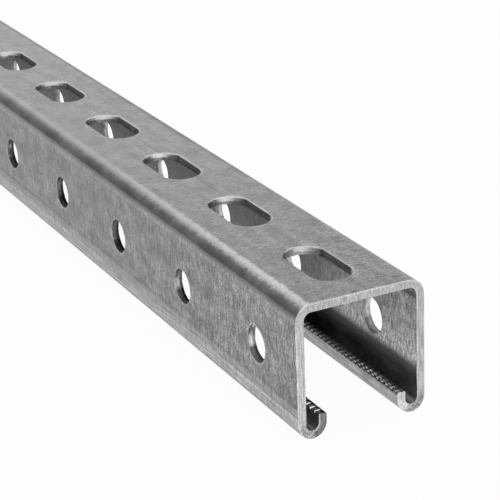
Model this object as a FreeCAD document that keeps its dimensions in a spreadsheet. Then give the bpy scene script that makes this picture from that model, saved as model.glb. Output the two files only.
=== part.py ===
import FreeCAD, Part
import math
import os
import Sketcher

# Slotted strut channel: one length of steel strip, punched flat with a row of slots down its
# middle and a row of round holes down each side, then rolled to a C with two hooked lips.
# +X runs along the channel and +Z is up: the slotted web is on top and the open side is
# down. The origin is under the middle of the length, on the level that the lips stand on.

doc = FreeCAD.newDocument("SlottedStrutChannel")
sheet = doc.addObject("Spreadsheet::Sheet", "Sizes")

# The driving sizes, in millimetres.
sizes = {
    # cut length of the stock
    "channel_length": 1000,
    # outside, across the two walls
    "channel_width": 41.3,
    # outside, from the feet of the lips to the web
    "channel_height": 41.3,
    # thickness of the strip
    "gauge": 2.5,
    # inside radius of the bends between the web and the walls
    "web_bend": 2.5,
    # inside radius of the hook of each lip
    "lip_bend": 2.0,
    # from the foot of a lip up to its tip
    "lip_depth": 7.1,
    # web slots: end to end, side to side, centre to centre, and the first from the end
    "slot_length": 28,
    "slot_width": 13,
    "slot_pitch": 50,
    "slot_first": 25,
    # round wall holes: across, centre to centre, the first from the end, and up from the feet
    "hole_diameter": 11,
    "hole_pitch": 50,
    "hole_first": 25,
    "hole_height": 20.65,
}
for row, (name, value) in enumerate(sizes.items(), start=1):
    sheet.set("A%d" % row, name)
    sheet.set("B%d" % row, str(value))
    sheet.setAlias("B%d" % row, name)
doc.recompute()


# One of a body's own base planes or axes, found by its role.
def base(body, role):
    for feature in body.Origin.OriginFeatures:
        if feature.Role == role:
            return feature


# An empty sketch lying on one of a body's base planes.
def sketch_on(body, name, role):
    sketch = body.newObject("Sketcher::SketchObject", name)
    sketch.AttachmentSupport = (base(body, role), [""])
    sketch.MapMode = "FlatFace"
    return sketch


# A straight edge drawn from one point of a sketch to another.
def line(sketch, x1, y1, x2, y2):
    start = FreeCAD.Vector(x1, y1, 0)
    end = FreeCAD.Vector(x2, y2, 0)
    return sketch.addGeometry(Part.LineSegment(start, end))


# A round edge drawn anticlockwise about a centre, from one angle to another.
def arc(sketch, x, y, radius, start_degrees, end_degrees):
    circle = Part.Circle(FreeCAD.Vector(x, y, 0), FreeCAD.Vector(0, 0, 1), radius)
    start = math.radians(start_degrees)
    end = math.radians(end_degrees)
    return sketch.addGeometry(Part.ArcOfCircle(circle, start, end))


# What a sketch calls a place: the start, end or centre of an edge is its point 1, 2 or 3,
# and the sketch's own across and up axes are its edges -1 and -2. Edges keep their numbers.
def numbered(place):
    points = ("start", "end", "centre")
    axes = ("across axis", "up axis")
    if place in points:
        return 1 + points.index(place)
    if place in axes:
        return -1 - axes.index(place)
    return place


# A geometric rule between places of a sketch, such as Tangent or Equal.
def tie(sketch, kind, *places):
    sketch.addConstraint(Sketcher.Constraint(kind, *map(numbered, places)))


# A measured rule, named and driven by an expression on the sheet.
def dimension(sketch, name, expression, kind, *places):
    value = float(sketch.evalExpression(expression))
    rule = Sketcher.Constraint(kind, *map(numbered, places), value)
    sketch.renameConstraint(sketch.addConstraint(rule), name)
    sketch.setExpression("Constraints." + name, expression)


channel = doc.addObject("PartDesign::Body", "StrutChannel")
channel.Label = "strut_channel"

# The rolled section, seen along the channel: across is +Y and up is +Z. Each side runs from
# the web round its bend, down the wall, round the hook and up the lip to its cut tip, then
# back inside at the strip's thickness.
section = sketch_on(channel, "RolledSection", "YZ_Plane")
half_width = sheet.channel_width / 2
bend_out = sheet.web_bend + sheet.gauge
bend_y = half_width - bend_out
bend_z = sheet.channel_height - bend_out
hook_out = sheet.lip_bend + sheet.gauge
hook_y = half_width - hook_out
mouth_y = hook_y - hook_out
lip_y = hook_y - sheet.lip_bend
wall_y = half_width - sheet.gauge
under_web = sheet.channel_height - sheet.gauge

web_out = line(section, -bend_y, sheet.channel_height, bend_y, sheet.channel_height)
web_in = line(section, -bend_y, under_web, bend_y, under_web)
tie(section, "Symmetric", web_out, "start", web_out, "end", "up axis")
tie(section, "Horizontal", web_in)


# One side of the section: side is 1 on +Y and -1 on -Y. Every arc is drawn anticlockwise,
# so where it starts on +Y it ends on -Y. The web's edges run from -Y to +Y.
def half_section(side):
    if side > 0:
        first, last, turn = "start", "end", 0
    else:
        first, last, turn = "end", "start", 90
    edge = {}
    edge["bend_out"] = arc(section, side * bend_y, bend_z, bend_out, turn, turn + 90)
    edge["bend_in"] = arc(section, side * bend_y, bend_z, sheet.web_bend, turn, turn + 90)
    edge["hook_out"] = arc(section, side * hook_y, hook_out, hook_out, 180, 360)
    edge["hook_in"] = arc(section, side * hook_y, hook_out, sheet.lip_bend, 180, 360)
    edge["wall_out"] = line(section, side * half_width, hook_out, side * half_width, bend_z)
    edge["wall_in"] = line(section, side * wall_y, hook_out, side * wall_y, bend_z)
    edge["lip_out"] = line(section, side * mouth_y, hook_out, side * mouth_y, sheet.lip_depth)
    edge["lip_in"] = line(section, side * lip_y, hook_out, side * lip_y, sheet.lip_depth)
    edge["tip"] = line(section, side * mouth_y, sheet.lip_depth, side * lip_y, sheet.lip_depth)
    for upright in ("wall_out", "wall_in", "lip_out", "lip_in"):
        tie(section, "Vertical", edge[upright])
    tie(section, "Horizontal", edge["tip"])
    tie(section, "Coincident", edge["bend_out"], "centre", edge["bend_in"], "centre")
    tie(section, "Coincident", edge["hook_out"], "centre", edge["hook_in"], "centre")
    tie(section, "Tangent", edge["bend_out"], last, web_out, last)
    tie(section, "Tangent", edge["bend_out"], first, edge["wall_out"], "end")
    tie(section, "Tangent", edge["hook_out"], last, edge["wall_out"], "start")
    tie(section, "Tangent", edge["hook_out"], first, edge["lip_out"], "start")
    tie(section, "Coincident", edge["lip_out"], "end", edge["tip"], "start")
    tie(section, "Coincident", edge["lip_in"], "end", edge["tip"], "end")
    tie(section, "Tangent", edge["hook_in"], first, edge["lip_in"], "start")
    tie(section, "Tangent", edge["hook_in"], last, edge["wall_in"], "start")
    tie(section, "Tangent", edge["bend_in"], first, edge["wall_in"], "end")
    tie(section, "Tangent", edge["bend_in"], last, web_in, last)
    return edge


right = half_section(1)
left = half_section(-1)
tie(section, "Equal", right["bend_out"], left["bend_out"])
tie(section, "Equal", right["hook_out"], left["hook_out"])
tie(section, "Horizontal", right["hook_out"], "centre", left["hook_out"], "centre")
tie(section, "Horizontal", right["tip"], "start", left["tip"], "start")

across = (left["wall_out"], "start", right["wall_out"], "start")
up_to_web = ("across axis", "start", web_out, "end")
through_web = (web_in, "end", web_out, "end")
up_to_hook = ("across axis", "start", right["hook_out"], "centre")
up_to_tip = ("across axis", "start", right["tip"], "start")
dimension(section, "width", "Sizes.channel_width", "DistanceX", *across)
dimension(section, "height", "Sizes.channel_height", "DistanceY", *up_to_web)
dimension(section, "thickness", "Sizes.gauge", "DistanceY", *through_web)
dimension(section, "web_corner", "Sizes.web_bend", "Radius", right["bend_in"])
dimension(section, "lip_hook", "Sizes.lip_bend", "Radius", right["hook_in"])
dimension(section, "foot", "Sizes.lip_bend + Sizes.gauge", "DistanceY", *up_to_hook)
dimension(section, "tip_height", "Sizes.lip_depth", "DistanceY", *up_to_tip)

rolled = channel.newObject("PartDesign::Pad", "RolledLength")
rolled.Profile = section
rolled.SideType = "Symmetric"
rolled.setExpression("Length", "Sizes.channel_length")
doc.recompute()

# The web slot has full-round ends and is punched down through the web only. The one drawn
# is the first of its row, near the +X end of the channel.
slot = sketch_on(channel, "WebSlot", "XY_Plane")
slot.setExpression("AttachmentOffset.Base.z", "Sizes.channel_height")
slot_x = sheet.channel_length / 2 - sheet.slot_first
end_radius = sheet.slot_width / 2
reach = sheet.slot_length / 2 - end_radius
inner_x = slot_x - reach
outer_x = slot_x + reach
inner_end = arc(slot, inner_x, 0, end_radius, 90, 270)
outer_end = arc(slot, outer_x, 0, end_radius, -90, 90)
lower = line(slot, inner_x, -end_radius, outer_x, -end_radius)
upper = line(slot, inner_x, end_radius, outer_x, end_radius)
tie(slot, "Tangent", inner_end, "start", upper, "start")
tie(slot, "Tangent", inner_end, "end", lower, "start")
tie(slot, "Tangent", outer_end, "start", lower, "end")
tie(slot, "Tangent", outer_end, "end", upper, "end")
tie(slot, "Horizontal", lower)
tie(slot, "Equal", inner_end, outer_end)
tie(slot, "PointOnObject", inner_end, "centre", "across axis")

centres_apart = "Sizes.slot_length - Sizes.slot_width"
outer_centre = "Sizes.channel_length / 2 - Sizes.slot_first + (" + centres_apart + ") / 2"
between = (inner_end, "centre", outer_end, "centre")
along = ("across axis", "start", outer_end, "centre")
dimension(slot, "end_radius", "Sizes.slot_width / 2", "Radius", outer_end)
dimension(slot, "centres_apart", centres_apart, "DistanceX", *between)
dimension(slot, "outer_centre", outer_centre, "DistanceX", *along)

slot_punch = channel.newObject("PartDesign::Pocket", "SlotPunch")
slot_punch.Profile = slot
slot_punch.setExpression("Length", "Sizes.gauge + Sizes.web_bend")


# A row of like cuts, from the +X end towards -X, as many as the length has room for. The
# thousandth keeps a run of exactly so many pitches from being rounded down to one fewer.
def row_of_cuts(name, cut, pitch, first):
    run = "(Sizes.channel_length - 2 * Sizes." + first + ") / Sizes." + pitch
    row = channel.newObject("PartDesign::LinearPattern", name)
    row.Originals = [cut]
    row.Direction = (base(channel, "X_Axis"), [""])
    row.Reversed = True
    row.Mode = "Spacing"
    row.setExpression("Offset", "Sizes." + pitch)
    row.setExpression("Occurrences", "floor(" + run + " + 0.001) + 1")
    channel.Tip = row
    doc.recompute()
    return row


slot_row = row_of_cuts("SlotRow", slot_punch, "slot_pitch", "slot_first")

# The wall hole is one round punch through both walls. The one drawn is the first of its row.
hole = sketch_on(channel, "WallHole", "XZ_Plane")
hole_x = sheet.channel_length / 2 - sheet.hole_first
hole_centre = FreeCAD.Vector(hole_x, sheet.hole_height, 0)
hole_axis = FreeCAD.Vector(0, 0, 1)
ring = hole.addGeometry(Part.Circle(hole_centre, hole_axis, sheet.hole_diameter / 2))
hole_along = "Sizes.channel_length / 2 - Sizes.hole_first"
ring_centre = ("across axis", "start", ring, "centre")
dimension(hole, "across_hole", "Sizes.hole_diameter", "Diameter", ring)
dimension(hole, "along", hole_along, "DistanceX", *ring_centre)
dimension(hole, "up", "Sizes.hole_height", "DistanceY", *ring_centre)

hole_punch = channel.newObject("PartDesign::Pocket", "HolePunch")
hole_punch.Profile = hole
hole_punch.SideType = "Symmetric"
hole_punch.setExpression("Length", "Sizes.channel_width + 2 * Sizes.gauge")

hole_row = row_of_cuts("HoleRow", hole_punch, "hole_pitch", "hole_first")

# Every feature has to be sound, and each row of punches has to take metal away.
doc.recompute()
for feature in doc.Objects:
    if "Invalid" in feature.State or "Error" in feature.State:
        raise RuntimeError("failed feature: " + feature.Name)
if channel.Shape.isNull() or not channel.Shape.isValid():
    raise RuntimeError("the channel is not a sound solid")
if slot_row.Shape.Volume >= rolled.Shape.Volume:
    raise RuntimeError("the web slots cut nothing")
if hole_row.Shape.Volume >= slot_row.Shape.Volume:
    raise RuntimeError("the wall holes cut nothing")

os.makedirs("parts", exist_ok=True)
channel.Shape.exportStep(os.path.join("parts", channel.Label + ".step"))
print("slots", slot_row.Occurrences, "hole pairs", hole_row.Occurrences)
print("volume", round(channel.Shape.Volume), "of", round(rolled.Shape.Volume), "unpunched")
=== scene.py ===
import math

import bmesh
import bpy
import numpy as np
from mathutils import Matrix, Vector


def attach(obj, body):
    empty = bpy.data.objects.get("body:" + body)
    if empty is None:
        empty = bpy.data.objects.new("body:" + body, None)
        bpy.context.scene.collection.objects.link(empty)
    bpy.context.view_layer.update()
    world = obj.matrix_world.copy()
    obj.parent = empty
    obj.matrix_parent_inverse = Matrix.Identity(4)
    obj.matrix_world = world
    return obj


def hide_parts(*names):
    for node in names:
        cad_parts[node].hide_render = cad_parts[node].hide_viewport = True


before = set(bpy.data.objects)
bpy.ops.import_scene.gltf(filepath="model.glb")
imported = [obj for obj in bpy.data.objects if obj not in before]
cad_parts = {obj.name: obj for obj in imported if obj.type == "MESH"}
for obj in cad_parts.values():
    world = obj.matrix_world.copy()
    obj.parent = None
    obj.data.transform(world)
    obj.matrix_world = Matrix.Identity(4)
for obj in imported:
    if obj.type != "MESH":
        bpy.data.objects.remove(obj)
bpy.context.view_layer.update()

# THE ROLLED STRIP
# The real piece is one length of zinc-coated steel strip. It is punched while flat and then
# rolled to a C with hooked lips. So each surface is laid out here on the flat strip first, as
# (along, across, depth) in millimetres, with depth 0 on the outside and 2.5 on the inside.
strip_length = 1000.0
channel_width = 41.3
channel_height = 41.3
gauge = 2.5
web_bend = 5.0
lip_hook = 4.5
lip_height = 7.1
middle = gauge / 2
web_edge = channel_width / 2 - web_bend
wall_start = web_edge + (web_bend - middle) * math.pi / 2
wall_end = wall_start + channel_height - web_bend - lip_hook
lip_start = wall_end + (lip_hook - middle) * math.pi
strip_edge = lip_start + lip_height - lip_hook


def rolled_up(strip):
    """Rolls points of the flat strip up into the channel.

    The strip's middle layer goes straight over half the web, a quarter turn round the bend,
    straight down the wall, a half turn round the hook and straight up the lip. Each point
    stands off that layer along its normal, outwards by half the gauge less its depth.
    """
    along, across, depth = strip[:, 0], np.abs(strip[:, 1]), strip[:, 2]
    bend = np.clip((across - web_edge) / (web_bend - middle), 0, math.pi / 2)
    hook = np.clip((across - wall_end) / (lip_hook - middle), 0, math.pi)
    out = np.minimum(across, web_edge) + (web_bend - middle) * np.sin(bend)
    out -= (lip_hook - middle) * (1 - np.cos(hook))
    up = channel_height - middle - (web_bend - middle) * (1 - np.cos(bend))
    up -= np.clip(across - wall_start, 0, wall_end - wall_start)
    up -= (lip_hook - middle) * np.sin(hook)
    up += np.maximum(across - lip_start, 0)
    turned = bend + hook
    out += (middle - depth) * np.sin(turned)
    up += (middle - depth) * np.cos(turned)
    return np.stack([along, np.sign(strip[:, 1]) * out, up], axis=1) / 1000


# Each batch of surface is (points, faces, finish), and is welded to its neighbours at the end.
ROLLED, PUNCHED, SHEARED = 0, 1, 2
batches = []


def sheet(points, finish, round_about=False, turned_over=False):
    """Adds a grid of points, rows by columns by 3, as square faces between its neighbours.

    The faces look out where rows run along and columns run across. round_about joins the
    last row to the first, and turned_over makes the faces look the other way.
    """
    rows, columns = points.shape[:2]
    number = np.arange(rows * columns).reshape(rows, columns)
    if round_about:
        number = np.vstack([number, number[:1]])
    faces = [number[:-1, :-1], number[1:, :-1], number[1:, 1:], number[:-1, 1:]]
    faces = np.stack(faces, axis=-1).reshape(-1, 4)
    batches.append((points.reshape(-1, 3), faces[:, ::-1] if turned_over else faces, finish))


def strip_grid(along, across, depth):
    """The points of a grid over the flat strip, along by across, at one depth."""
    a, s = np.meshgrid(along, across, indexing="ij")
    return np.stack([a, s, np.full(a.shape, depth)], axis=-1)


# The strip is divided into one column for each tooth of the lips. A narrow column is left at
# each end for the cut edge.
pitch = 50.0
teeth_in_pitch = 19
repeats = int(strip_length / pitch)
cut_margin = 0.4
columns = np.linspace(-strip_length / 2, strip_length / 2, repeats * teeth_in_pitch + 1)
columns = np.clip(columns, -strip_length / 2 + cut_margin, strip_length / 2 - cut_margin)

# Each bend and hook starts and ends with one narrow row, so that the flats beside it stay flat.
# After its hook, each lip has one flat row before its teeth.
lip_flat = 0.85
bend_turns = np.radians([0, 1.5, 16, 30.5, 45, 59.5, 74, 88.5, 90])
bend_rows = web_edge + (web_bend - middle) * bend_turns
hook_turns = np.radians([0, 2, 19.6, 37.2, 54.8, 72.4, 90, 107.6, 125.2, 142.8, 160.4, 178, 180])
lip_foot = lip_start + lip_flat
hook_rows = np.append(wall_end + (lip_hook - middle) * hook_turns, lip_foot)
for rows in (bend_rows, hook_rows):
    for side in (1, -1):
        across = np.sort(side * rows)
        sheet(strip_grid(columns, across, 0.0), ROLLED)
        sheet(strip_grid(columns, across, gauge), ROLLED, turned_over=True)

# THE PUNCHED ROWS
# A slot in the web and a hole in each wall are punched every 50 mm, from outside. The punch
# draws the edge down, burnishes the first part of the wall, and tears the rest a little wider.
slot_radius = 6.5
slot_reach = 7.5
hole_radius = 5.5
hole_height = 20.65
hole_across = wall_start + channel_height - web_bend - hole_height
slot_flare = 0.02
hole_flare = 0.05
slot_end_draw = 0.36

# Each opening is let into a rectangle of the strip, one pitch long. Round the rectangle go one
# point for each tooth along a side and ten across an end, and as many go round the opening.
points_across = 10
frame_corners = np.cumsum([0, teeth_in_pitch, points_across, teeth_in_pitch, points_across])
around = np.arange(frame_corners[-1])

# The profile that is carried round each opening, from the outside of the strip to the inside:
# how far back from the opening's edge each line stands, how deep it lies, how much of the draw
# at a slot's ends it takes, and how much of the way it has gone to the rectangle that the opening
# is let into.
set_back = np.array([1.2, 1.2, 0.3, 0.12, 0.03, 0.02, 0.0, 0.07, 0.09, 0.09, 0.45, 0.7, 0.7])
depths = np.array([0.0, 0.0, 0.012, 0.05, 0.14, 0.35, 1.5, 1.53, 2.38, 2.56, 2.5, 2.5, 2.5])
draw = np.array([1.0, 1.0, 1.0, 1.0, 1.0, 0.85, 0.0, 0.0, 0.0, 0.0, 0.0, 0.0, 0.0])
spread = np.array([1.0, 0.0, 0.0, 0.0, 0.0, 0.0, 0.0, 0.0, 0.0, 0.0, 0.0, 0.0, 1.0])
RIM_LINE, BURNISH_LINE, TEAR_LINES, BURR_LINE = 4, 6, slice(7, 9), 9
punch_lean = math.radians(18)
# How far the torn lines, the burr, the end of the burnish and the burr's height wander, how
# deep the ledge is where the tear starts, and how much of the flare each torn line takes.
tear_wander = 0.015
burr_wander = 0.02
burnish_wander = 0.12
burr_rise = 0.03
tear_ledge = 0.03
tear_flare = np.array([0.2, 1.0])
ragged = np.random.default_rng(41)


def ragged_ring(openings, amount):
    """A closed ragged line for each opening: the sum of 14 waves round it, in random phase."""
    waves = np.arange(1, 15)
    phases = ragged.uniform(0, 2 * math.pi, (openings, 1, waves.size))
    heights = ragged.normal(0, amount / math.sqrt(waves.size / 2), (openings, 1, waves.size))
    turns = around[None, :, None] * waves * 2 * math.pi / around.size
    return (heights * np.cos(turns + phases)).sum(axis=-1)


def punched_row(radius, anchor, heading, low, high, centre, flare, end_draw=0.0):
    """One row of openings with the flat strip round them, between two lines across the strip.

    Round an opening, a point of its edge is its anchor plus the radius along its heading. A
    line of the profile stands that much further back along the heading, and is then drawn
    evenly towards the rectangle between the lines and the half pitches. The torn part of the
    wall opens out evenly by the flare. The upper part is drawn back by the end draw times the
    fourth power of the cosine of the heading from the line that the punch leans along, so most
    at the ends of a slot.
    """
    half = pitch / 2
    frame_along = np.interp(around, frame_corners, [-half, half, half, -half, -half])
    frame_across = np.interp(around, frame_corners, [low, low, high, high, low])
    middles = (np.arange(repeats) + 0.5) * pitch - strip_length / 2
    limit = strip_length / 2 - cut_margin
    frame_along = np.clip(middles[:, None] + frame_along, -limit, limit)[..., None]
    back = set_back + end_draw * draw * np.cos(heading + punch_lean)[:, None] ** 4
    back = np.broadcast_to(back, (repeats, around.size, set_back.size)).copy()
    deep = np.broadcast_to(depths, back.shape).copy()
    back[..., TEAR_LINES] += ragged_ring(repeats, tear_wander)[..., None] + flare * tear_flare
    back[..., BURR_LINE] += ragged_ring(repeats, burr_wander) + flare
    deep[..., BURNISH_LINE] += ragged_ring(repeats, burnish_wander)
    deep[..., BURNISH_LINE + 1] = deep[..., BURNISH_LINE] + tear_ledge
    deep[..., BURR_LINE] += np.abs(ragged_ring(repeats, burr_rise))
    back += radius
    edge_along = middles[:, None, None] + anchor[:, None] + back * np.cos(heading)[:, None]
    edge_across = centre + back * np.sin(heading)[:, None]
    along = edge_along + (frame_along - edge_along) * spread
    across = edge_across + (frame_across[:, None] - edge_across) * spread
    rings = np.stack([along, across, deep], axis=-1)
    for ring in rings:
        sheet(ring[:, :RIM_LINE + 1], ROLLED, round_about=True)
        sheet(ring[:, RIM_LINE:BURR_LINE + 1], PUNCHED, round_about=True)
        sheet(ring[:, BURR_LINE:], ROLLED, round_about=True)


# A slot has half-round ends and straight sides. Its anchor stays at the middle of an end while
# the heading turns, and runs along a side while the heading is square to it.
slot_marks = [0, 4, 15, 19, 29, 33, 44, 48, 58]
slot_turns = [-125, -90, -90, -55, 55, 90, 90, 125, 235]
slot_places = slot_reach * np.array([-1, -1, 1, 1, 1, 1, -1, -1, -1])
heading = np.radians(np.interp(around, slot_marks, slot_turns))
anchor = np.interp(around, slot_marks, slot_places)
punched_row(slot_radius, anchor, heading, -web_edge, web_edge, 0.0, slot_flare, slot_end_draw)

# A hole's anchor stays at its centre while the heading turns all the way round.
hole_turns = [-147.5, -32.5, 32.5, 147.5, 212.5]
heading = np.radians(np.interp(around, frame_corners, hole_turns))
anchor = np.zeros(around.size)
for side in (1, -1):
    low, high = sorted((side * wall_start, side * wall_end))
    punched_row(hole_radius, anchor, heading, low, high, side * hole_across, hole_flare)

# THE TOOTHED LIPS
# The free edges of the strip are notched across before rolling, so that a channel nut's grooves
# bite on them. The wheels lean apart: one edge has notches with a steep flank towards +X, shallow
# on its outside, and the other has V notches between narrow ridges.
tooth_depth = 0.9
tooth_foot = 0.5
tooth_rows = strip_edge - tooth_depth - tooth_foot
tooth_edge_round = 0.25
tooth_scatter = 0.05
tooth_wear = 0.08
deepest_notch = 1.15
# Along a tooth, five places and the height at each, and then how much of the depth the notch
# has at the outside and at the inside of the lip.
tooth_marks = {
    1: ([0.0, 0.2, 0.3, 0.55, 0.8], [0.5, 1.0, 1.0, 0.45, 0.0], 0.62, 0.5),
    -1: ([0.0, 0.14, 0.42, 0.86, 0.93], [0.2, 0.85, 1.0, 1.0, 0.0], 0.27, 0.62),
}
for side, (marks, heights, outer_share, inner_share) in tooth_marks.items():
    starts = columns[:-1, None]
    along = np.append((starts + np.diff(columns)[:, None] * np.array(marks)).ravel(), columns[-1])
    count = along.size
    fine = len(marks)
    height = np.append(np.tile(heights, columns.size - 1), 1.0)
    height = height * (1 + ragged.normal(0, tooth_scatter, count))
    height -= tooth_wear * np.abs(ragged.normal(0, 1, count))
    # The ends keep their full height, where the shear has dressed the last tooth.
    height[[0, -1]] = 1.0
    if side < 0:
        height[-fine:] = 1.0
    notch = tooth_depth * np.clip(1 - height, 0, deepest_notch)
    outer_top = strip_edge - outer_share * notch
    inner_top = strip_edge - inner_share * notch
    # The notched edge: up the outside of the lip, over the tooth and down the inside.
    edge = tooth_edge_round
    foot = np.full(count, tooth_rows)
    profile_across = [foot, outer_top - edge, outer_top, inner_top, inner_top - edge, foot]
    profile_depth = [0.0, 0.0, edge, gauge - edge, gauge, gauge]
    ridge = np.stack([
        np.broadcast_to(along[:, None], (count, 6)),
        side * np.stack(profile_across, axis=1),
        np.broadcast_to(profile_depth, (count, 6)),
    ], axis=-1)
    sheet(ridge, ROLLED, turned_over=side < 0)
    # Each column of the lip is fanned out to the five lines of its tooth.
    starts = np.arange(columns.size - 1)
    lip = np.stack([columns, np.full(columns.size, side * lip_foot)], axis=1)
    tip = np.stack([along, np.full(count, side * tooth_rows)], axis=1)
    first = columns.size + starts * fine
    fans = [(starts, first + k + 1, first + k) for k in range(3)]
    fans += [(starts + 1, first + k + 1, first + k) for k in range(3, fine)]
    fans.append((starts, starts + 1, first + 3))
    fans = np.concatenate([np.stack(fan, axis=1) for fan in fans])
    for depth in (0.0, gauge):
        flat = np.vstack([lip, tip])
        points = np.column_stack([flat, np.full(len(flat), depth)])
        over = (side < 0) != (depth > 0)
        batches.append((points, fans[:, ::-1] if over else fans, ROLLED))

# THE CUT ENDS
# The stock is cut off square by a shear, which leaves bright bare steel with its edges a little
# rounded. The section's outline is carried over that edge and closed with a face.
edge_round = 0.15
face_inset = 0.14
face_sag = 0.04
tip_reach = 1.5
half_web = np.linspace(0, web_edge, points_across // 2 + 1)
wall_rows = np.linspace(wall_start, wall_end, points_across + 1)
side_rows = np.concatenate([half_web, bend_rows[1:], wall_rows[1:], hook_rows[1:]])
side_rows = np.append(side_rows, tooth_rows)


def half_outline(side):
    """Half of the section from the web's middle to a lip's tip: across, and both its depths."""
    rows = np.concatenate([side_rows, [strip_edge - tooth_edge_round, strip_edge]])
    outer = np.zeros(rows.size)
    outer[-1] = tooth_edge_round
    return side * rows, outer, gauge - outer


for end in (1, -1):
    halves = half_outline(-1), half_outline(1)
    across, outer, inner = [np.concatenate([a[::-1], b[1:]]) for a, b in zip(*halves)]
    # The face's own outline stands in from the skins, half as far at its tips, and the tips
    # stand in from the teeth.
    inset = np.where(np.abs(across) > strip_edge - tip_reach, 0.5, 1.0) * face_inset
    face_across = across.copy()
    face_across[[0, 1, -2, -1]] -= np.array([-1, -0.4, 0.4, 1]) * face_inset
    rims = []
    for back, s, o, i in (
        (cut_margin, across, outer, inner),
        (edge_round, across, outer, inner),
        (0.0, face_across, outer + inset, inner - inset),
    ):
        loop_across = np.concatenate([s, s[::-1], s[:1]])
        loop_depth = np.concatenate([o, i[::-1], o[:1]])
        along = np.full(loop_across.size, end * (strip_length / 2 - back))
        rims.append(np.stack([along, loop_across, loop_depth], axis=1))
    sheet(np.stack(rims), SHEARED, turned_over=end < 0)
    # The face goes through the gauge in four steps, a little hollow between its edges.
    steps = np.linspace(0, 1, 5)[:, None]
    deep = (outer + inset) * (1 - steps) + (inner - inset) * steps
    hollow = face_sag * np.sin(math.pi * steps) * ragged.uniform(0.2, 1, deep.shape)
    face = np.stack([
        end * (strip_length / 2 - hollow),
        np.broadcast_to(face_across, deep.shape),
        deep,
    ], axis=-1)
    sheet(face[:, 1:-1], SHEARED, turned_over=end < 0)
    for side, next_in, tip in ((1, -2, -1), (-1, 1, 0)):
        corner = np.vstack([face[:, next_in], face[0, tip], face[-1, tip]])
        fan = np.array([[0, 1, 5], [1, 2, 5], [2, 6, 5], [2, 3, 6], [3, 4, 6]])
        over = (side < 0) != (end < 0)
        batches.append((corner, fan[:, ::-1] if over else fan, SHEARED))

# All the batches are rolled up and welded along the lines they share, to one closed skin.
weld = 2e-6
sharp_turn = math.radians(60)
strip_points = np.concatenate([points for points, _, _ in batches])
starts = np.cumsum([0] + [len(points) for points, _, _ in batches[:-1]])
faces = [face for start, (_, part, _) in zip(starts, batches) for face in (part + start).tolist()]
finish = np.concatenate([np.full(len(part), number) for _, part, number in batches])
channel_mesh = bpy.data.meshes.new("strut_channel")
channel_mesh.from_pydata(rolled_up(strip_points), [], faces)
channel_mesh.polygons.foreach_set("material_index", finish.astype(np.int32))
on_strip = channel_mesh.attributes.new("strip", "FLOAT_VECTOR", "POINT")
on_strip.data.foreach_set("vector", strip_points.astype(np.float32).ravel())
skin = bmesh.new()
skin.from_mesh(channel_mesh)
bmesh.ops.remove_doubles(skin, verts=skin.verts, dist=weld)
bmesh.ops.dissolve_degenerate(skin, dist=weld, edges=skin.edges)
skin.to_mesh(channel_mesh)
skin.free()
channel_mesh.shade_smooth()
channel_mesh.set_sharp_from_angle(angle=sharp_turn)
channel = bpy.data.objects.new("channel", channel_mesh)
bpy.context.scene.collection.objects.link(channel)
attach(channel, "root")
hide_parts("strut_channel")


# THE ROLLED SKIN
# The strip is zinc coated before it is punched. Its skin is a dull grey with short dark streaks
# across it, and the rolls have burnished the outside of each bend and dragged along the lips.
# Each value of the finish is worked out from the place on the flat strip, in millimetres.
zinc_tone = 0.295
zinc_roughness = 0.44
brightest_tone = 0.97


def begin(name):
    """Starts a material on the channel, and gives its nodes, surface and place on the strip.

    The place comes whole and then as its three parts: along, across and through the strip.
    """
    material = bpy.data.materials.new(name)
    material.use_nodes = True
    channel_mesh.materials.append(material)
    tree = material.node_tree
    strip = tree.nodes.new("ShaderNodeAttribute")
    strip.attribute_name = "strip"
    apart = tree.nodes.new("ShaderNodeSeparateXYZ")
    tree.links.new(strip.outputs["Vector"], apart.inputs[0])
    return tree, tree.nodes["Principled BSDF"], strip.outputs["Vector"], apart.outputs


def add(kind, *feeds, **settings):
    """Adds a node, makes its settings and feeds its inputs in order with values or sockets."""
    node = tree.nodes.new("ShaderNode" + kind)
    for name, value in settings.items():
        setattr(node, name, value)
    for socket, value in zip(node.inputs, feeds):
        if isinstance(value, bpy.types.NodeSocket):
            tree.links.new(value, socket)
        else:
            socket.default_value = value
    return node


def times(a, b):
    """The product of two values."""
    return add("Math", a, b, operation="MULTIPLY").outputs[0]


def plus(a, b):
    """The sum of two values."""
    return add("Math", a, b, operation="ADD").outputs[0]


def at_most(value, top):
    """The value, or the top where the value is above it."""
    return add("Math", value, top, operation="MINIMUM").outputs[0]


def unsigned(value):
    """The value without its sign."""
    return add("Math", value, operation="ABSOLUTE").outputs[0]


def climb(value, low, high, start=0.0, end=1.0):
    """An S curve that is start below low and end above high."""
    return add("MapRange", value, low, high, start, end, interpolation_type="SMOOTHSTEP").outputs[0]


def eased(mask, first, second):
    """Goes on an S curve from the first value, at a mask of 0, to the second, at a mask of 1."""
    return climb(mask, 0.0, 1.0, first, second)


def mixed(mask, first, second):
    """Goes evenly from the first value, at a mask of 0, to the second, at a mask of 1."""
    return add("MapRange", mask, 0.0, 1.0, first, second).outputs[0]


def band(value, low, high, blur):
    """1 between low and high and 0 elsewhere, with soft edges of width blur.

    It is the product of a curve that climbs at low and one that falls at high, eased once more.
    """
    entered = climb(value, low - blur / 2, low + blur / 2)
    left = climb(value, high - blur / 2, high + blur / 2, 1.0, 0.0)
    return climb(times(entered, left), 0.0, 1.0)


def share(value, mask, amount):
    """The value where the mask is 0, and the value times the amount where the mask is 1."""
    return times(value, mixed(mask, 1.0, amount))


def grain(scale, detail=3.0, shift=0.0):
    """Noise from 0 to 1, with so many grains to the millimetre along, across and through."""
    moved = add("VectorMath", place, (shift, shift, shift), operation="ADD").outputs[0]
    sized = add("VectorMath", moved, scale, operation="MULTIPLY").outputs[0]
    noise = add("TexNoise", sized, 0.0, 1.0, detail, 0.6)
    return climb(noise.outputs[0], 0.32, 0.68)


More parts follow.
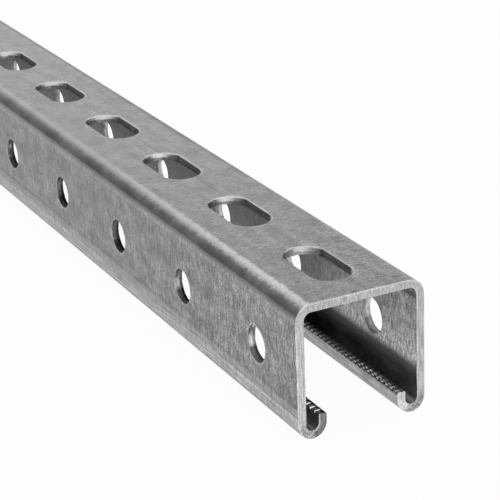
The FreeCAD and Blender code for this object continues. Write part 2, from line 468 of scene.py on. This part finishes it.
def varied(value, pattern, amount):
    """The value, made more or less by up to the amount as the pattern goes from 0 to 1."""
    swing = add("Math", pattern, 2.0, -1.0, operation="MULTIPLY_ADD").outputs[0]
    return times(value, add("Math", swing, amount, 1.0, operation="MULTIPLY_ADD").outputs[0])


def finish_with(tone, warmth, dull, relief, height):
    """Feeds the surface: a grey of this tone, more or less warm, its roughness and its bump."""
    patches = grain((0.05, 0.08, 0.1), 2.0, 57.0)
    tint = add("Mix", data_type="RGBA")
    tree.links.new(times(plus(patches, 0.4), warmth), tint.inputs[0])
    tint.inputs[6].default_value = (1.0, 1.0, 1.0, 1)
    tint.inputs[7].default_value = (1.0, 0.985, 0.97, 1)
    grey = add("VectorMath", tint.outputs[2], operation="SCALE")
    tree.links.new(tone, grey.inputs["Scale"])
    tree.links.new(grey.outputs[0], surface.inputs["Base Color"])
    tree.links.new(dull, surface.inputs["Roughness"])
    bump = add("Bump")
    bump.inputs["Distance"].default_value = height
    tree.links.new(relief, bump.inputs["Height"])
    tree.links.new(bump.outputs[0], surface.inputs["Normal"])
    surface.inputs["Metallic"].default_value = 1.0


tree, surface, place, (along, across, deep) = begin("rolled_zinc")
from_middle = unsigned(across)
from_mid_length = unsigned(along)
inside = climb(deep, 1.0, 1.5)
outside = climb(deep, 1.0, 1.5, 1.0, 0.0)


def outer_band(low, high, blur):
    """A band of the strip's outside, between two distances from the middle of the web."""
    return times(band(from_middle, low, high, blur), outside)


# From the middle of the web, its edge is at 15.65 mm, the bend ends at 21.54, the wall at 53.34 and
# the hook at 63.55. Each place that is rubbed smooth, and each place where light or shade is
# painted, has its mask here.
wandering = plus(from_middle, times(plus(grain((0.3, 0.12, 0.3), 3.0, 67.0), -0.5), 0.9))
scuff_and_painted_sheen = times(band(wandering, 15.9, 17.9, 0.7), outside)
burnished = outer_band(18.2, 21.0, 0.6)
burnish_and_painted_shade = outer_band(19.6, 20.9, 0.5)
dragged = times(climb(from_middle, 56.0, 58.0), outside)
rim = times(climb(deep, 0.025, 0.055), outside)
painted_trough_shade = times(climb(from_middle, 42.3, 45.3), inside)
painted_bend_shadow = times(band(from_middle, 16.5, 23.1, 0.3), inside)
tooth_line = strip_edge - tooth_depth
toothed = times(climb(from_middle, tooth_line, tooth_line + 0.05), band(deep, 0.12, 2.38, 0.1))
smooth = plus(plus(burnished, times(painted_trough_shade, 0.7)), plus(times(dragged, 0.8), rim))
smooth = plus(smooth, plus(times(scuff_and_painted_sheen, 0.65), times(plus(toothed, painted_bend_shadow), 0.6)))
streaks = grain((1.4, 0.4, 1.0))
upright = grain((0.8, 0.13, 1.0), 2.0, 97.0)
speckle = grain((1.6, 1.4, 2.0), 4.0, 11.0)
clouds = grain((0.11, 0.16, 0.3), 3.0, 23.0)
rolled = grain((0.003, 0.35, 1.0), 3.0, 89.0)
drawn = grain((0.1, 1.6, 2.0), 3.0, 31.0)
scratches = climb(grain((1.1, 0.2, 1.0), 2.0, 43.0), 0.75, 1.0)
# The marks are strong near the ends and on the walls. They are fainter on the outside of the web
# and along the foot of each wall, and hardly show where the skin is smooth.
wall_foot = times(climb(from_middle, 48.0, 48.8), outside)
foot_share = eased(wall_foot, 1.0, 0.45)
outer_web = times(climb(from_middle, 15.5, 17.5, 1.0, 0.0), outside)
outer_wall = times(climb(from_middle, 21.0, 24.0), outside)
marked = times(climb(from_mid_length, 380.0, 460.0, 0.6, 1.0), foot_share)
marked = times(marked, eased(outer_web, 1.0, 0.76))
far_inside = times(inside, climb(from_mid_length, 435.0, 465.0, 1.0, 0.0))
even = at_most(plus(smooth, times(far_inside, 0.55)), 1.0)
uneven = times(marked, mixed(even, 1.0, 0.14))
tone = varied(zinc_tone, streaks, times(uneven, eased(outer_wall, 0.36, 0.4)))
tone = varied(tone, speckle, times(uneven, eased(outer_wall, 0.32, 0.36)))
tone = varied(tone, upright, times(marked, eased(outer_wall, 0.0, 0.22)))
tone = varied(tone, clouds, times(eased(outer_wall, 0.16, 0.27), foot_share))
tone = varied(tone, rolled, 0.06)
tone = share(tone, times(scratches, eased(smooth, 1.0, 0.0)), 0.72)
# The rolls leave a scuffed line where the web ends, and burnish a band round the bend with a thin
# pale line where the wall starts. Over these lies painted reflection: a painted highlight on the
# scuffed line, brightest near the ends, a little on the burnished band and the pale line, and
# painted shade that makes the band dark round the bend. Away from the ends the walls are a little
# darker than the web.
tone = share(tone, scuff_and_painted_sheen, climb(from_mid_length, 350.0, 480.0, 1.0, 1.36))
tone = share(tone, burnished, 1.15)
tone = share(tone, burnish_and_painted_shade, 0.66)
tone = share(tone, band(from_middle, 21.2, 22.0, 0.5), 1.18)
wall_share = climb(from_mid_length, 440.0, 490.0, 0.93, 1.0)
tone = share(tone, outer_band(22.0, 49.0, 1.0), wall_share)
# One half of the web is a little darker, and a roll has left a faint dark line along it, a
# little off its middle.
tone = share(tone, times(band(across, -15.5, -5.0, 3.0), outside), 0.93)
tone = share(tone, band(across, 1.6, 2.6, 1.2), 0.84)
# Along the foot of each wall run a dark line, an even pale strip and a paler band at the start
# of the hook, with a bright line pressed along its upper edge. Below it the hook is dull.
tone = share(tone, outer_band(46.9, 48.2, 0.8), 0.85)
tone = share(tone, outer_band(48.4, 51.2, 0.6), 1.14)
tone = share(tone, outer_band(51.0, 54.6, 0.8), 1.4)
pressed_share = climb(from_mid_length, 410.0, 460.0, 1.03, 1.3)
tone = share(tone, outer_band(51.0, 51.9, 0.5), pressed_share)
tone = share(tone, outer_band(54.4, 57.2, 1.0), climb(across, -1.0, 1.0, 0.7, 0.4))
# Fine marks are drawn along the hooks and lips, which are paler by the teeth and at the ends.
tone = varied(tone, drawn, times(climb(from_middle, 47.5, 50.0), times(outside, 0.2)))
tone = varied(tone, drawn, times(dragged, 0.14))
tone = share(tone, dragged, climb(from_middle, 62.6, 63.4, 0.98, 1.22))
tone = share(tone, dragged, climb(from_mid_length, 478.0, 495.0, 1.0, 1.12))
# Inside, the skin is scored, and painted light makes it brighter near the open ends and darker
# further in. Painted shade darkens the trough round the hooks, and a painted shadow lies along the
# inside of the bends.
scoring = climb(grain((1.6, 0.5, 1.0), 3.0, 71.0), 0.5, 1.0)
scored = times(times(inside, climb(from_middle, 44.0, 46.0, 1.0, 0.0)), scoring)
tone = share(tone, inside, climb(from_mid_length, 435.0, 465.0, 0.95, 2.1))
tone = share(tone, inside, climb(from_mid_length, 486.0, 496.0, 1.0, 1.15))
tone = share(tone, scored, mixed(far_inside, 0.55, 0.65))
tone = share(tone, painted_trough_shade, climb(from_middle, 48.0, 50.2, 0.17, 0.6))
tone = share(tone, painted_bend_shadow, 0.35)
# Round each opening runs a pale ring where the die has pressed. The drawn-down edge of a slot is
# scraped bright, that of a hole is duller, most on its lower side, and the burr behind each is
# bright, with a line of painted shade in the crease along its foot.
web_ring = climb(from_mid_length, 430.0, 455.0, 1.3, 1.14)
ring = climb(from_middle, 15.0, 20.0, web_ring, 1.35)
tone = share(tone, times(climb(deep, 0.003, 0.009), outside), ring)
tone = share(tone, rim, climb(from_middle, 15.0, 20.0, 1.6, 0.85))
tone = share(tone, times(rim, band(from_middle, 40.4, 45.0, 1.0)), 0.5)
tone = share(tone, climb(deep, 2.535, 2.56), 1.5)
tone = share(tone, band(deep, 2.504, 2.54, 0.006), 0.25)
# On the teeth of one edge, painted highlights make the flanks bright and painted shade makes the
# tops dark. On the ridges of the other, painted highlights run along the tops, most at the corners,
# and painted shade makes the outside darker than the inside.
topmost = climb(from_middle, strip_edge - 0.16, strip_edge - 0.08)
first_edge = plus(times(topmost, -2.4), 2.8)
ridge_top = climb(from_middle, strip_edge - 0.34, strip_edge - 0.2)
corners = plus(times(band(deep, 0.15, 0.7, 0.2), 1.4), band(deep, 1.8, 2.35, 0.2))
ridge_glints = times(ridge_top, plus(times(corners, 3.6), 1.3))
second_edge = plus(ridge_glints, climb(deep, 0.3, 2.2, 0.5, 1.8))
notched = mixed(climb(across, -1.0, 1.0), first_edge, second_edge)
tone = share(tone, toothed, notched)
tone = at_most(tone, brightest_tone)
dull = varied(zinc_roughness, streaks, mixed(even, 0.18, 0.02))
dull = varied(dull, clouds, 0.1)
dull = share(dull, plus(burnished, times(toothed, 0.8)), 0.7)
dull = share(dull, rim, 0.6)
relief = plus(plus(streaks, times(speckle, 0.6)), times(scratches, -0.5))
relief = share(relief, smooth, 0.08)
finish_with(tone, climb(from_middle, 15.0, 24.0), dull, relief, height=1.6e-5)

# THE PUNCHED WALLS
# The punch burnishes the first part of each wall bright, with fine upright lines, and the rest
# breaks away rougher and darker along a ragged edge. Away from the ends the openings are duller.
burnished_tone = 0.7
burnished_roughness = 0.3
tree, surface, place, (along, across, deep) = begin("punched_wall")
from_middle = unsigned(across)
fresh = climb(unsigned(along), 380.0, 470.0)
in_wall = climb(from_middle, 20.0, 22.0)
lines = grain((4.0, 4.0, 0.3), 2.0)
coarse = grain((0.9, 0.9, 1.1), 4.0, 17.0)
patches = grain((0.22, 0.22, 0.3), 2.0, 29.0)
torn = climb(plus(deep, times(coarse, 0.35)), 1.7, 1.9)
tone = varied(burnished_tone, lines, climb(deep, 0.3, 0.9, 0.0, 0.1))
tone = varied(tone, coarse, eased(in_wall, 0.1, 0.25))
tone = varied(tone, patches, eased(in_wall, 0.1, 0.35))
tone = share(tone, climb(across, -22.0, -20.0, 1.0, 0.0), eased(fresh, 0.5, 1.15))
tone = share(tone, climb(across, 20.0, 22.0), 0.62)
tone = share(tone, torn, climb(across, -22.0, -20.0, 0.4, 0.7))
# The long sides of the slots and the lower sides of the holes are darker.
long_side = band(from_middle, 6.2, 8.0, 0.5)
lower_side = band(from_middle, 40.0, 45.0, 1.6)
tone = share(tone, long_side, eased(fresh, 0.33, 0.4))
tone = share(tone, lower_side, climb(across, -1.0, 1.0, 0.3, 0.65))
dull = share(varied(burnished_roughness, coarse, 0.15), torn, 1.5)
dull = share(dull, in_wall, eased(fresh, 1.4, 0.75))
dull = share(dull, lower_side, 2.0)
dull = share(dull, long_side, eased(fresh, 1.8, 1.0))
relief = times(lines, climb(deep, 0.3, 0.9, 0.0, 0.06))
relief = plus(relief, times(coarse, eased(torn, 0.02, 0.3)))
finish_with(tone, 0.3, dull, relief, height=5e-5)

# THE SHEARED ENDS
# The shear leaves bare steel, dragged through the gauge of the web and along that of the walls,
# with a bright arris along each skin. The blade has smeared one hook darker.
sheared_tone = 0.51
sheared_roughness = 0.42
tree, surface, place, (along, across, deep) = begin("sheared_end")
from_middle = unsigned(across)
on_wall = climb(from_middle, 15.0, 20.0)
hooked = band(from_middle, 53.5, 60.0, 1.0)
through = grain((1.0, 1.8, 0.5), 3.0)
lengthwise = grain((1.0, 0.16, 2.0), 3.0, 5.0)
pitted = grain((1.2, 1.8, 1.8), 4.0, 13.0)
tone = varied(sheared_tone, through, eased(on_wall, 0.25, 0.1))
tone = varied(tone, lengthwise, eased(on_wall, 0.05, 0.25))
tone = varied(tone, pitted, eased(hooked, 0.15, 0.55))
tone = share(tone, climb(across, -20.0, -16.0, 1.0, 0.0), 1.1)
arris = plus(climb(deep, 0.2, 0.5, 1.0, 0.0), climb(deep, 2.0, 2.3))
smeared = times(climb(across, -59.5, -57.5, 1.0, 0.0), climb(deep, 2.0, 2.2, 1.0, 0.0))
tone = share(tone, smeared, 0.4)
tone = share(tone, hooked, 0.78)
tone = share(tone, climb(across, 60.0, 61.0), 1.25)
tone = share(tone, arris, 1.25)
dull = varied(varied(sheared_roughness, through, 0.2), pitted, 0.2)
relief = plus(through, plus(lengthwise, times(pitted, eased(hooked, 1.0, 2.5))))
finish_with(tone, 0.7, dull, relief, height=3e-5)

# THE FLOOR
# A plain pale floor, level with the feet of the lips. The camera, gloss and clear rays see it
# near to white, and it still takes the channel's shadow.
floor_half = 20.0
corners = floor_half * np.array([[-1, -1, 0], [1, -1, 0], [1, 1, 0], [-1, 1, 0]])
floor_mesh = bpy.data.meshes.new("floor")
floor_mesh.from_pydata(corners, [], [(0, 1, 2, 3)])
floor = bpy.data.objects.new("floor", floor_mesh)
bpy.context.scene.collection.objects.link(floor)
pale = bpy.data.materials.new("pale_floor")
pale.use_nodes = True
floor_mesh.materials.append(pale)


def white_rays():
    """1 for the camera, gloss and clear rays, and 0 for the rays that light the surfaces."""
    rays = add("LightPath").outputs
    seen = add("Math", rays["Is Camera Ray"], rays["Is Glossy Ray"], operation="MAXIMUM")
    seen = add("Math", seen.outputs[0], rays["Is Transmission Ray"], operation="MAXIMUM")
    return seen.outputs[0]


tree = pale.node_tree
tree.nodes.clear()
matt = add("BsdfDiffuse", (0.85, 0.85, 0.85, 1)).outputs[0]
white = add("Emission", (1, 1, 1, 1)).outputs[0]
floor_glow = 0.96
both = add("MixShader", times(white_rays(), floor_glow), matt, white).outputs[0]
add("OutputMaterial", both)

# THE LIGHT
# One white room, a little dimmer above the far end. A dim flag beside the wall there darkens the
# bend, and a bright patch above lights the start of it.
world = bpy.data.worlds.new("studio")
bpy.context.scene.world = world
world.use_nodes = True
tree = world.node_tree
tree.nodes.clear()
direction = add("TexCoord").outputs["Generated"]


def patch(level, strength, heading, inner, outer):
    """The level, changed to a strength within the inner angle of a heading, fading to the outer."""
    dot = add("VectorMath", direction, Vector(heading).normalized(), operation="DOT_PRODUCT")
    low, high = math.cos(math.radians(outer)), math.cos(math.radians(inner))
    return mixed(climb(dot.outputs["Value"], low, high), level, strength)


room_level = 0.85
level = mixed(white_rays(), room_level, 1.0)
level = patch(level, 0.64, (-0.83, 0.45, 0.35), 20, 60)
level = patch(level, 0.25, (-0.83, -0.50, 0.12), 14, 36)
level = patch(level, 2.3, (-0.83, 0.16, 0.60), 6, 20)
seen = add("LightPath").outputs["Is Camera Ray"]
sky = add("Background", (1, 1, 1, 1), mixed(seen, level, 1.0)).outputs[0]
add("OutputWorld", sky)

# THE CAMERA
# It stands 0.42 m off the near end, to the left of the channel and above it, and leans a little.
# Its place, turns and long focal length are those that the photograph's edges and openings fit.
# The focal length is in pixels of a picture 500 wide.
focal_length = 1895.1
picture_width = 500
film_width = 36.0
camera_place = (0.9196, -0.23965, 0.249)
camera = bpy.data.objects.new("camera", bpy.data.cameras.new("camera"))
bpy.context.scene.collection.objects.link(camera)
bpy.context.scene.camera = camera
camera.data.sensor_width = film_width
camera.data.lens = focal_length / picture_width * film_width
camera.data.clip_end = 100.0
swing, tilt, lean = math.radians(26.153), math.radians(21.896), math.radians(-2.378)
ahead = Vector((
    -math.cos(swing) * math.cos(tilt),
    math.sin(swing) * math.cos(tilt),
    -math.sin(tilt),
))
right = ahead.cross(Vector((0, 0, 1))).normalized()
above = right.cross(ahead)
across_view = math.cos(lean) * right + math.sin(lean) * above
up_view = math.cos(lean) * above - math.sin(lean) * right
turn = Matrix((across_view, up_view, -ahead)).transposed()
camera.matrix_world = Matrix.Translation(camera_place) @ turn.to_4x4()

bpy.context.scene.view_settings.view_transform = "Standard"
